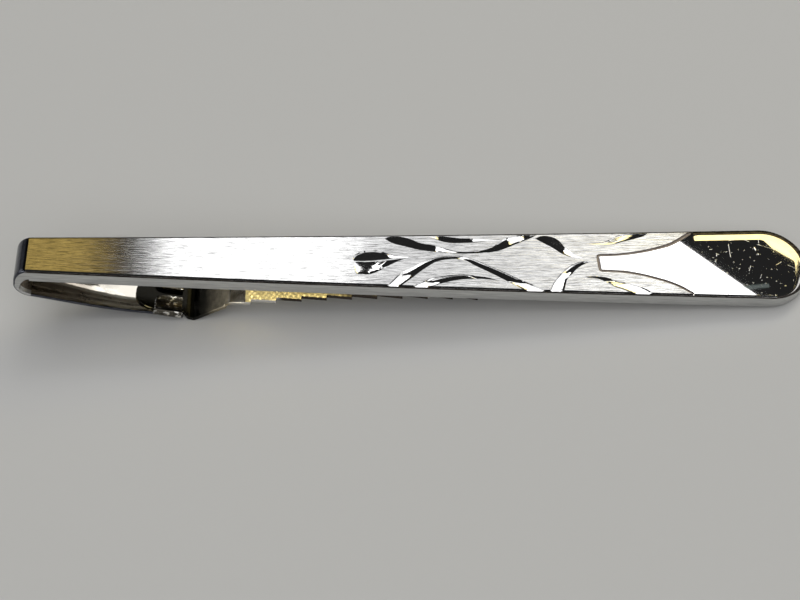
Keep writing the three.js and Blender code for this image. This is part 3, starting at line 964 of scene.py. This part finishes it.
def clouded(name, base, base_rough, scale, stops, rough, relief, detail=4, pits=None):
    """A metal whose colour and roughness follow one cloud. The relief does too, or follows
    finer pits, given as (scale, detail)."""
    m = Nodes(name, base, base_rough)
    cloud = m.noise(scale, detail)
    m.colour(cloud, stops)
    m.roughness(cloud, *rough)
    m.bump(m.noise(*pits) if pits else cloud, relief)
    return m.material


def brushed_top():
    m = Nodes("brushed_top", (0.8, 0.8, 0.8), 0.13)
    fine = m.noise((0.9, 13, 1), detail=4, rough=0.75)
    wide = m.noise((0.12, 4.5, 1), detail=3, rough=0.6)
    m.colour(fine, [(0.34, (0.17, 0.17, 0.17)), (0.47, (0.48, 0.48, 0.48)), (0.62, (0.68, 0.68, 0.68))])
    m.roughness(wide, 0.1, 0.16)
    m.bump(wide, 0.01)
    m.bump(m.noise((0.25, 12, 1), detail=2), 0.0015)
    m.brushed(0.85)
    return m.material


def polished_tip():
    """A mirror with pits and fine scratches, which are the borders of two sets of cells."""
    m = Nodes("polished_tip", (0.88, 0.88, 0.87), 0.03)
    marks = m.ranged(m.noise((4.5, 4.5, 4.5), detail=2), 0.7, 0.74, 0, 1)
    for scale, patch in (((0.5, 0.34, 1), (0.5, 0.5, 0.5)), ((0.3, 0.62, 1), (0.36, 0.8, 0.4))):
        cells = m.add("ShaderNodeTexVoronoi", feature="DISTANCE_TO_EDGE", Scale=1.0, Randomness=1.0)
        m.link(m.place(scale), cells.inputs["Vector"])
        line = m.ranged(cells.outputs["Distance"], 0.001, 0.006, 1, 0)
        here = m.ranged(m.noise(patch, detail=3), 0.55, 0.61, 0, 1)
        marks = m.pair("MAXIMUM", marks, m.pair("MULTIPLY", line, here))
    m.roughness(marks, 0.015, 0.3, 0, 1)
    m.bump(marks, 0.004)
    return m.material


def polished_slope():
    return clouded("polished_slope", (0.9, 0.88, 0.84), 0.1, (1.2, 2.4, 2.4),
                   [(0.3, (0.82, 0.79, 0.74)), (0.7, (0.94, 0.93, 0.9))], (0.07, 0.14), 0.001,
                   detail=3, pits=((3, 6, 6), 3))


def bright_cut():
    m = Nodes("bright_cut", (0.85, 0.85, 0.85), 0.06)
    m.roughness(m.noise((7, 7, 7)), 0.03, 0.1)
    m.bump(m.noise((3, 14, 3)), 0.002)
    return m.material


def satin_side():
    m = Nodes("satin_side", (0.5, 0.5, 0.5), 0.38)
    fine = m.noise((0.5, 6, 14), detail=4)
    m.colour(fine, [(0.3, (0.46, 0.46, 0.45)), (0.7, (0.7, 0.7, 0.68))])
    m.roughness(m.noise((0.6, 3, 3)), 0.3, 0.45)
    m.bump(fine, 0.004)
    return m.material


def channel_inside():
    return clouded("channel_inside", (0.5, 0.48, 0.45), 0.3, (0.8, 1.6, 1.6),
                   [(0.3, (0.34, 0.32, 0.29)), (0.7, (0.56, 0.54, 0.5))], (0.22, 0.38), 0.004,
                   detail=5, pits=((5, 9, 9), 4))


def groove_floor():
    return clouded("groove_floor", (0.3, 0.27, 0.26), 0.4, (6, 6, 6),
                   [(0.3, (0.2, 0.17, 0.165)), (0.7, (0.42, 0.38, 0.37))], (0.32, 0.5), 0.004)


def ear_painted_shade_and_glints():
    """Painted shade with painted glints: coloured dark because the bar shades the ear, with sparse bright
    specks standing for glints.
    """
    return clouded("ear_painted_shade_and_glints", (0.1, 0.09, 0.08), 0.08, (2.6, 3.4, 3.4),
                   [(0.3, (0.04, 0.037, 0.03)), (0.56, (0.12, 0.11, 0.09)), (0.62, (0.85, 0.83, 0.78))],
                   (0.05, 0.12), 0.004, pits=((6, 6, 6), 4))


# Painted highlights: the ear's rims are speckled bright on dark, for the glints where they catch light.
def ear_rim_painted_glints():
    return clouded("ear_rim_painted_glints", (0.8, 0.78, 0.74), 0.12, (4, 4, 4),
                   [(0.46, (0.1, 0.09, 0.075)), (0.56, (0.85, 0.83, 0.8))], (0.08, 0.2), 0.004)


# Painted shade: the rounded edges are coloured nearly black, with random tone, for the dark line that
# their rounding reflects.
def edge_painted_dark_reflection():
    return clouded("edge_painted_dark_reflection", (0.1, 0.09, 0.08), 0.25, (1.5, 3, 3),
                   [(0.35, (0.025, 0.021, 0.018)), (0.75, (0.1, 0.09, 0.08))], (0.2, 0.35), 0.003)


# Painted shade: the outer skin of the fold and leg and their edges are coloured dark blue-grey for the
# dark they reflect, not the strip's silver.
def fold_outside_painted_shade():
    m = Nodes("fold_outside_painted_shade", (0.12, 0.125, 0.15), 0.16)
    fine = m.noise((2, 12, 2), detail=4)
    m.colour(fine, [(0.3, (0.05, 0.053, 0.07)), (0.7, (0.11, 0.115, 0.135))])
    m.roughness(m.noise((1.5, 1.5, 1.5)), 0.1, 0.2)
    m.bump(fine, 0.003)
    return m.material


# Painted shade: dark brown inside the fold, where the bar shades it.
def fold_inside_painted_shade():
    return clouded("fold_inside_painted_shade", (0.16, 0.14, 0.11), 0.3, (1.2, 1.6, 1.6),
                   [(0.3, (0.1, 0.085, 0.065)), (0.7, (0.22, 0.19, 0.15))], (0.22, 0.38), 0.006)


# Painted shade: dark brown near the fold, where the leg reflects the shaded underside of the bar,
# lightening towards the ears.
def leg_painted_shade_to_light():
    m = Nodes("leg_painted_shade_to_light", (0.7, 0.68, 0.64), 0.1)
    m.colour(m.lengthwise((0.7, 1.4, 1.4), 2.0, 1, 9),
             [(0, (0.2, 0.17, 0.135)), (0.45, (0.3, 0.27, 0.23)), (0.8, (0.7, 0.67, 0.6))])
    m.roughness(m.noise((2, 5, 2), detail=4), 0.03, 0.07)
    m.bump(m.noise((1.2, 3, 3), detail=2), 0.002)
    return m.material


# Painted light and shade along the tongue: nearly black at the root and hump under the bar, a painted
# warm sheen on the ramp, painted highlights on the first teeth, then dark again beyond them.
def tongue_painted_shade_and_light():
    m = Nodes("tongue_painted_shade_and_light", (0.6, 0.57, 0.5), 0.14)
    m.colour(m.lengthwise((1.2, 1.6, 1.6), 1.0, 13, 23),
             [(0, (0.01, 0.0095, 0.008)), (0.05, (0.03, 0.028, 0.022)), (0.24, (0.5, 0.44, 0.32)),
              (0.3, (0.75, 0.73, 0.7)), (0.6, (0.75, 0.73, 0.7)), (0.66, (0.06, 0.05, 0.042))])
    m.roughness(m.noise((3, 3, 3), detail=4), 0.1, 0.22)
    m.bump(m.noise((4, 4, 4), detail=4), 0.004)
    return m.material


# Painted light: the knurled upper face is coloured gold and brightest over its first teeth, for a warm
# light it reflects, and falls to painted shade towards its far end under the bar.
def tongue_grip_painted_warm_light():
    m = Nodes("tongue_grip_painted_warm_light", (0.8, 0.66, 0.32), 0.45)
    speck = m.noise((5, 5, 5), detail=4)
    m.colour(m.lengthwise((5, 5, 5), 3.0, 16, 28),
             [(0, (0.45, 0.36, 0.17)), (0.12, (0.98, 0.9, 0.62)), (0.66, (0.96, 0.86, 0.55)),
              (0.84, (0.12, 0.1, 0.075))])
    m.roughness(speck, 0.38, 0.55)
    m.bump(speck, 0.012)
    return m.material


# ---- pieces
strip_shell = Shell()
bar_half(strip_shell)
fold_and_leg(strip_shell)
ear(strip_shell, 1)
ear(strip_shell, -1)
strip_materials = [make() for make in (
    brushed_top, polished_tip, bright_cut, satin_side, channel_inside, fold_outside_painted_shade, leg_painted_shade_to_light,
    groove_floor, ear_painted_shade_and_glints, ear_rim_painted_glints, edge_painted_dark_reflection, fold_inside_painted_shade, polished_slope)]
strip = strip_shell.build("clip_strip", strip_materials, flat=(BRUSHED, MIRROR))
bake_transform(strip)
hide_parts("front_bar", "spring_leg")

tongue_shell = Shell()
tongue(tongue_shell)
grip = tongue_shell.build("toothed_blade", [tongue_painted_shade_and_light(), tongue_grip_painted_warm_light()])
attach(grip, "arm")
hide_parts("toothed_tongue")

# ---- camera, floor, light
CAMERA_AT = (19.321, -61.474, 87.229)
CAMERA_RIGHT = (0.99663514, -0.03664265, 0.07331925)
CAMERA_UP = (-0.00983031, 0.83461872, 0.55074037)

lens = bpy.data.cameras.new("camera")
lens.lens = 63
lens.sensor_width = 36
lens.clip_start = 0.001
lens.clip_end = 20
camera = shown("camera", lens)
right, up = turned(CAMERA_RIGHT), turned(CAMERA_UP)
axes = Matrix((right, up, right.cross(up))).transposed().to_4x4()
camera.matrix_world = Matrix.Translation(placed(CAMERA_AT)) @ axes
bpy.context.scene.camera = camera


FLOOR_RADIUS = 1.6
FLOOR_FLAT = 0.9  # radius of its flat middle
FLOOR_RISE = 0.16


def floor():
    """A pale round sheet whose border curves up a little."""
    mesh = bpy.data.meshes.new("floor")
    rings, sectors = 24, 64
    points, faces = [(0, 0, 0)], []
    for r in range(1, rings + 1):
        radius = FLOOR_RADIUS * (r / rings) ** 2
        rise = FLOOR_RISE * smooth((radius - FLOOR_FLAT) / (FLOOR_RADIUS - FLOOR_FLAT))
        for s in range(sectors):
            a = 2 * math.pi * s / sectors
            points.append((radius * math.cos(a), radius * math.sin(a), rise))
    for s in range(sectors):
        faces.append((0, 1 + s, 1 + (s + 1) % sectors))
    for r in range(rings - 1):
        for s in range(sectors):
            a, b = 1 + r * sectors + s, 1 + r * sectors + (s + 1) % sectors
            faces.append((a, a + sectors, b + sectors, b))
    mesh.from_pydata(points, [], faces)
    mesh.shade_smooth()
    m = Nodes("pale_sheet", (0.62, 0.62, 0.61), 0.7)
    put(m.shader, {"Metallic": 0.0, "Specular IOR Level": 0.2})
    mesh.materials.append(m.material)
    shown("floor", mesh)


floor()

world = bpy.data.worlds.new("room")
bpy.context.scene.world = world
world.use_nodes = True
world.node_tree.nodes["Background"].inputs["Color"].default_value = (0.016, 0.016, 0.016, 1)
bpy.context.scene.view_settings.view_transform = "Standard"

# The soft boxes that the top mirrors hang in one plane, straight across the way that the
# flat top turns the camera's view.
MIRROR_WAY = Vector((0, -CAMERA_AT[1], CAMERA_AT[2])).normalized()
SIDEWAYS = Vector((1, 0, 0))
RISE = SIDEWAYS.cross(MIRROR_WAY)
REACH = 450.0  # the plane's distance


def area_light(name, matrix, width, height, radiance, colour, glossy=True, diffuse=True):
    """A soft box of so many metres, lit evenly. It may show only in reflections, or in none."""
    data = bpy.data.lights.new(name, "AREA")
    data.shape = "RECTANGLE"
    data.size, data.size_y = width, height
    data.energy = radiance * math.pi * width * height
    data.color = colour
    lamp = shown(name, data)
    lamp.matrix_world = matrix
    lamp.visible_glossy = glossy
    lamp.visible_diffuse = diffuse
    return lamp


def mirrored(x, y=0.0, tilt=0.0):
    """Where in that plane the camera's view goes after the top has mirrored it at a place,
    as (sideways, rise). tilt, in degrees, raises it."""
    normal = top_normal(max(x, 0))
    seen = Vector((x - CAMERA_AT[0], y - CAMERA_AT[1], -CAMERA_AT[2]))
    way = seen - 2 * seen.dot(normal) * normal
    start = Vector((x, y, 0))
    hit = start + way * (REACH - start.dot(MIRROR_WAY)) / way.dot(MIRROR_WAY)
    return Vector((hit.dot(SIDEWAYS), hit.dot(RISE) + REACH * math.tan(math.radians(tilt))))


def hung(name, centre, turn, width, height, radiance, colour):
    """A soft box in that plane, turned in it, its size in millimetres."""
    z, x = turned(MIRROR_WAY), turned(SIDEWAYS * math.cos(turn) + RISE * math.sin(turn))
    at = SIDEWAYS * centre.x + RISE * centre.y + MIRROR_WAY * REACH
    matrix = Matrix.Translation(placed(at)) @ Matrix((x, z.cross(x), z)).transposed().to_4x4()
    return area_light(name, matrix, width * MM, height * MM, radiance, colour)


def card(name, x_from, x_to, tilt_from, tilt_to, radiance, colour=(1, 1, 1)):
    """A soft box that the top mirrors into the camera between two places along it."""
    low, high = mirrored(x_from, 0, tilt_from), mirrored(x_to, 0, tilt_to)
    return hung(name, (low + high) / 2, 0, high.x - low.x, high.y - low.y, radiance, colour)


def slanted(name, start, end, reach, width, radiance, colour=(1, 1, 1)):
    """A soft box whose long right edge the top mirrors from one place to another."""
    a, b = mirrored(*start), mirrored(*end)
    way = (b - a).normalized()
    centre = (a + b) / 2 + Vector((-way.y, way.x)) * width / 2
    return hung(name, centre, math.atan2(way.y, way.x), reach, width, radiance, colour)


def soft_box(name, azimuth, elevation, distance, width, height, radiance, colour=(1, 1, 1), **seen):
    """A soft box round the clip. Azimuth 0 stands in front of it, 90 at its tip's side."""
    a, e = math.radians(azimuth), math.radians(elevation)
    way = Vector((math.sin(a) * math.cos(e), -math.cos(a) * math.cos(e), math.sin(e)))
    rotation = way.to_track_quat("Z", "Y").to_matrix().to_4x4()
    matrix = Matrix.Translation(way * distance) @ rotation
    return area_light(name, matrix, width, height, radiance, colour, **seen)


card("lamp_left", 9.55, 24, -8, 8, 2.9)
card("lamp_middle", 24, 46, -8, 8, 1.4)
slanted("lamp_right", (50.2, 1.9), (55.3, -2.95), 90, 95, 2.6)
slanted("window", (54.5, -2.2), (56.6, -1.95), 11, 1.5, 0.12, (0.8, 0.95, 0.9))
card("wood_left", -2.5, 5.4, -7, 7, 0.8, (0.85, 0.6, 0.16))

soft_box("fill", 180, 78, 0.8, 0.8, 0.8, 1.25, glossy=False)
soft_box("front_fill", 5, 58, 0.8, 0.8, 0.7, 1.25, glossy=False)
soft_box("warm_right", 147, 38, 0.6, 0.26, 0.16, 2.0, (1.0, 0.86, 0.42))
soft_box("front_left", 300, 32, 0.8, 0.3, 0.3, 1.4)
soft_box("front_right", 55, 25, 0.8, 0.4, 0.25, 1.0)
for place in (262, 311, 0, 49, 98):
    soft_box(f"round_{place}", place, 21, 0.8, 0.66, 0.4, 0.75, diffuse=False)
soft_box("behind_right", 135, 16, 0.8, 0.45, 0.3, 0.4, diffuse=False)
soft_box("behind_left", 225, 16, 0.8, 0.45, 0.3, 0.15, diffuse=False)
warm_grip = soft_box("warm_grip", 345, 50, 0.5, 0.3, 0.3, 40.0, (1.0, 0.87, 0.5), diffuse=False)
grips = bpy.data.collections.new("grips")
grips.objects.link(grip)
warm_grip.light_linking.receiver_collection = grips
